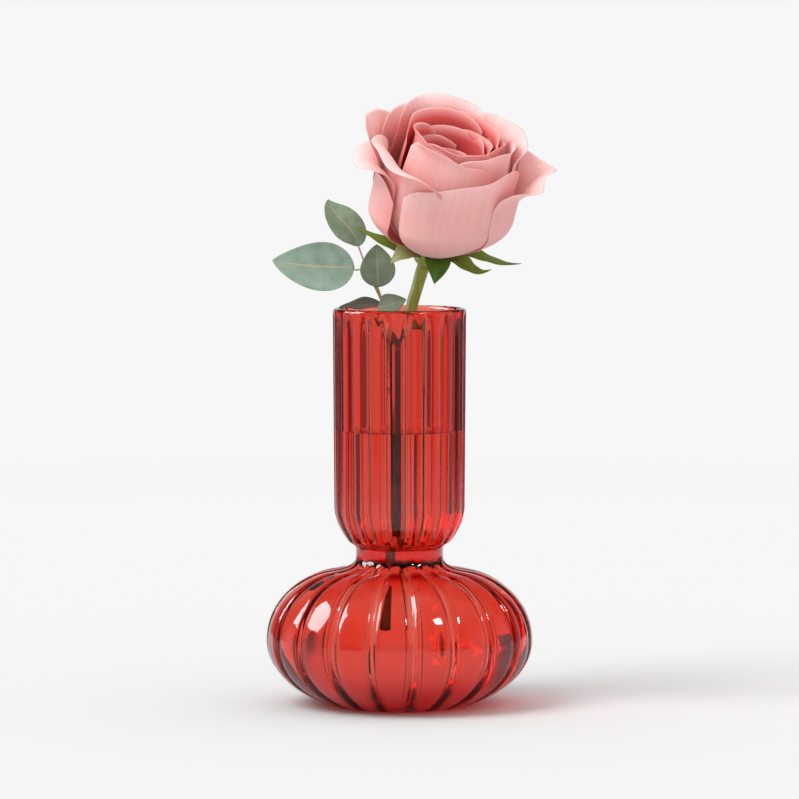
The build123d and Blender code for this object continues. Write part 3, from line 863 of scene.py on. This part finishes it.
def tubeRings(path, radius, sides):
    # rings square to the path, turned by one fixed direction so that they don't twist
    along = np.gradient(path, axis=0)
    along /= np.linalg.norm(along, axis=1, keepdims=True)
    right = np.cross(np.array([0.0, 1.0, 0.12])[None, :], along)
    right /= np.linalg.norm(right, axis=1, keepdims=True)
    back = np.cross(along, right)
    turns = np.linspace(0, 2 * pi, sides, endpoint=False)
    ring = np.cos(turns)[None, :, None] * right[:, None, :] + np.sin(turns)[None, :, None] * back[:, None, :]
    return path[:, None, :] + ring * np.asarray(radius)[:, None, None]


def joined(surfaces):
    # several closed surfaces in one mesh
    verts, faces, first = [], [], 0
    for points, polygons in surfaces:
        verts.append(points)
        faces += [[first + i for i in polygon] for polygon in polygons]
        first += len(points)
    return np.concatenate(verts), faces


def tubeSurface(points, radii, sides, count):
    # closed tube along a smooth path, its radius blended between radii spaced evenly along it
    path = smoothPath(points, count)
    spread = np.linspace(0, 1, len(path))
    radius = np.interp(spread, np.linspace(0, 1, len(radii)), radii)
    rings = tubeRings(path, radius, sides)
    return roundSurface(rings, path[0], path[-1])


roseStem = {
    "points": [(-4.8, 3.4, 29.0), (-3.9, 3.2, 48.0), (-2.8, 3.0, 71.5), (-2.1, 3.0, 102.0),
               (-1.3, 3.1, 123.0), (1.0, 3.3, 143.0), (4.8, 3.4, 176.0), (8.2, 2.6, 189.5),
               (10.8, 0.6, 198.0), (13.4, -2.4, 203.5)],
    "radii": [1.9, 1.8, 1.6, 1.5, 1.6, 2.1, 2.7, 2.7, 3.0, 4.2],
    "thorns": [((2.9, 3.5, 141.5), (6.0, 4.0, 143.2)), ((6.8, 3.4, 171.0), (9.9, 3.2, 169.3))],
}


def makeStem(material):
    # stem with its two thorns, each a cone with a hooked tip
    surfaces = [tubeSurface(roseStem["points"], roseStem["radii"], 28, 12)]
    for foot, tip in roseStem["thorns"]:
        foot, tip = np.array(foot), np.array(tip)
        middle = (foot + tip) / 2 + np.array([0.1, 0, 0.35])
        surfaces.append(tubeSurface([foot, middle, tip], [1.7, 0.75, 0.12], 14, 6))
    verts, faces = joined(surfaces)
    addPiece("rose_stem_skin", verts, faces, material, "rose", ["rose_stem"])


# joints of the twig, then the path of each length of it with its radii
fork = (-0.9, 0, -16.5)
rimNode = (-7.3, -0.6, 2)
lowNode = (-8.5, -0.8, 5)
highNode = (-15.6, -1.4, 18.5)
twig = {
    "trunk": ([(-1.0, -0.6, -99.5), (-1.0, -0.5, -84.5), (-1.1, -0.1, -55.5), (-1.0, 0, -38.5), fork],
              [0.9, 0.9, 0.95, 0.95, 1.1]),
    "branch": ([fork, (-4, -0.3, -8), (-6.2, -0.5, -1.5), lowNode, (-11.6, -1, 11), highNode],
               [1.05, 0.75, 0.7, 0.75, 0.5, 0.5]),
    "leftShoot": ([(-0.5, 0, -18), (-3.2, -2, -12.5), (-8.5, -4, -9), (-10.8, -5, -5)],
                  [0.8, 0.6, 0.6, 0.45]),
    "rightShoot": ([(-0.6, 0, -18), (2.2, -1.6, -13), (4, -2.4, -6)], [0.8, 0.6, 0.5]),
}
stalks = [(highNode, (-18.4, -2, 28)), (highNode, (-20.2, -2.5, 17.5)), (lowNode, (-9.9, -4, 9.8)),
          (rimNode, (-9.6, -2.2, 0.8)), (rimNode, (-8, 1.5, 1.2))]


def makeTwig(material):
    # trunk, branch and two cut side shoots, with thin stalks that sag a little on their way to the leaves
    lengths = list(twig.values())
    for start, end in stalks:
        start, end = np.array(start), np.array(end)
        middle = (start + end) / 2 + np.array([0.4, -0.2, -0.3])
        lengths.append(([start, middle, end], [0.45, 0.32, 0.4]))
    surfaces = []
    for points, radii in lengths:
        surfaces.append(tubeSurface(sprigOrigin + np.array(points), radii, 16, 9))
    verts, faces = joined(surfaces)
    addPiece("twig_bark", verts, faces, material, "sprig", ["sprig_twig"])


stemSkin = stemMaterial()
makeStem(stemSkin)
makeTwig(barkMaterial())
nodes["rose_hip"].data.materials.clear()
nodes["rose_hip"].data.materials.append(stemSkin)
print("stems made")
